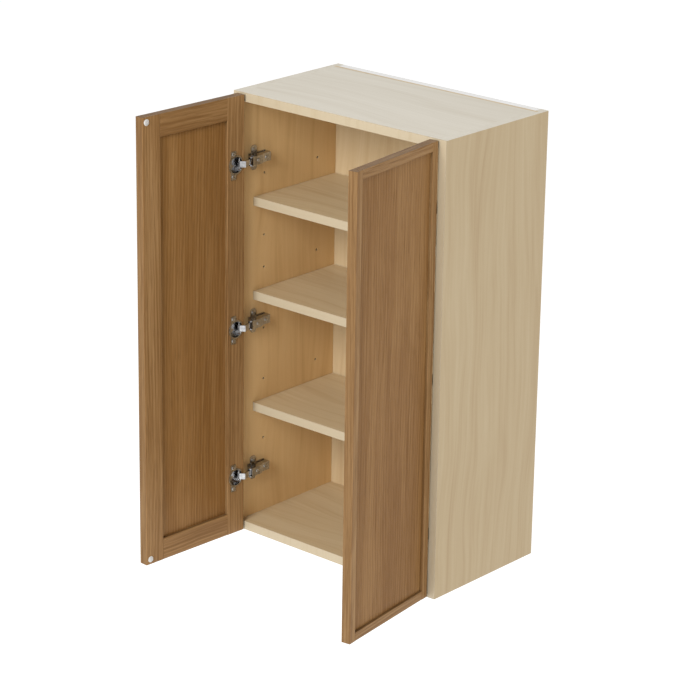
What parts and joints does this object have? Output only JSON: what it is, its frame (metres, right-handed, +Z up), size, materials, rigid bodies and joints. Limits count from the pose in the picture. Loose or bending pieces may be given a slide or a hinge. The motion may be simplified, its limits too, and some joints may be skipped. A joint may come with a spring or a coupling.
{
  "type": "hanging wall cabinet",
  "caption": "Frameless hanging wall cabinet with shelves on pins and two framed oak doors that swing open on concealed cup hinges.",
  "frame": {"origin": "bottom centre of the rear face that lies against the wall", "axes": "+Z up, -Y out of the front, +X to the right as seen from the front"},
  "size_m": [0.5494, 0.573, 0.9144],
  "materials": {
    "maple_board": "satin melamine, straight maple grain",
    "rail_board": "raw pale board",
    "edge_band": "satin cream edge band",
    "dowel_wood": "plain beech",
    "zinc_steel": "zinc plated",
    "oak_frame": "stained oak, satin lacquer",
    "oak_veneer": "stained oak veneer, satin lacquer",
    "clear_rubber": "soft translucent",
    "nickel": "polished nickel plate",
    "screw_steel": "plated steel"
  },
  "bodies": {
    "root": {"side_panel_left": "maple_board", "side_panel_right": "maple_board", "top_panel": "maple_board", "bottom_panel": "maple_board", "back_panel": "maple_board", "hanging_rail_top": "rail_board", "hanging_rail_bottom": "rail_board", "carcass_edge_bands": "edge_band", "shelf_lower": "maple_board", "shelf_middle": "maple_board", "shelf_upper": "maple_board", "shelf_edge_bands": "edge_band", "shelf_pins": "zinc_steel", "carcass_dowels": "dowel_wood", "cam_locks": "zinc_steel", "cam_bolts": "zinc_steel", "rail_screws": "zinc_steel", "left_hinge_arms": "nickel", "left_hinge_plates": "nickel", "left_hinge_plate_screws": "screw_steel", "left_hinge_adjusting_screws": "screw_steel", "left_hinge_arm_pins": "screw_steel", "right_hinge_arms": "nickel", "right_hinge_plates": "nickel", "right_hinge_plate_screws": "screw_steel", "right_hinge_adjusting_screws": "screw_steel", "right_hinge_arm_pins": "screw_steel"},
    "left_links": {"left_hinge_outer_links": "nickel"},
    "left_door": {"left_door_hinge_stile": "oak_frame", "left_door_free_stile": "oak_frame", "left_door_top_rail": "oak_frame", "left_door_bottom_rail": "oak_frame", "left_door_inset": "oak_veneer", "left_door_bumpers": "clear_rubber", "left_hinge_cups": "nickel", "left_hinge_cup_screws": "screw_steel", "left_hinge_cup_pins": "screw_steel"},
    "right_links": {"right_hinge_outer_links": "nickel"},
    "right_door": {"right_door_hinge_stile": "oak_frame", "right_door_free_stile": "oak_frame", "right_door_top_rail": "oak_frame", "right_door_bottom_rail": "oak_frame", "right_door_inset": "oak_veneer", "right_door_bumpers": "clear_rubber", "right_hinge_cups": "nickel", "right_hinge_cup_screws": "screw_steel", "right_hinge_cup_pins": "screw_steel"}
  },
  "joints": [
    {"name": "left_link_turn", "type": "hinge", "parent": "root", "child": "left_links", "pos_m": [-0.2327, -0.291, 0.4572], "axis": [0, 0, 1], "range_deg": [-40.01, 7.33]},
    {"name": "left_door_turn", "type": "hinge", "parent": "left_links", "child": "left_door", "pos_m": [-0.23729, -0.31991, 0.4572], "axis": [0, 0, -1], "range_deg": [-132.99, 24.31]},
    {"name": "right_link_turn", "type": "hinge", "parent": "root", "child": "right_links", "pos_m": [0.2327, -0.291, 0.4572], "axis": [0, 0, -1], "range_deg": [-41.73, 5.61]},
    {"name": "right_door_turn", "type": "hinge", "parent": "right_links", "child": "right_door", "pos_m": [0.23642, -0.32004, 0.4572], "axis": [0, 0, 1], "range_deg": [-138.71, 18.59]}
  ],
  "couplings": [
    {"joint": "left_link_turn", "follows": "left_door_turn", "ratio": 0.3007},
    {"joint": "right_link_turn", "follows": "right_door_turn", "ratio": 0.3007}
  ]
}
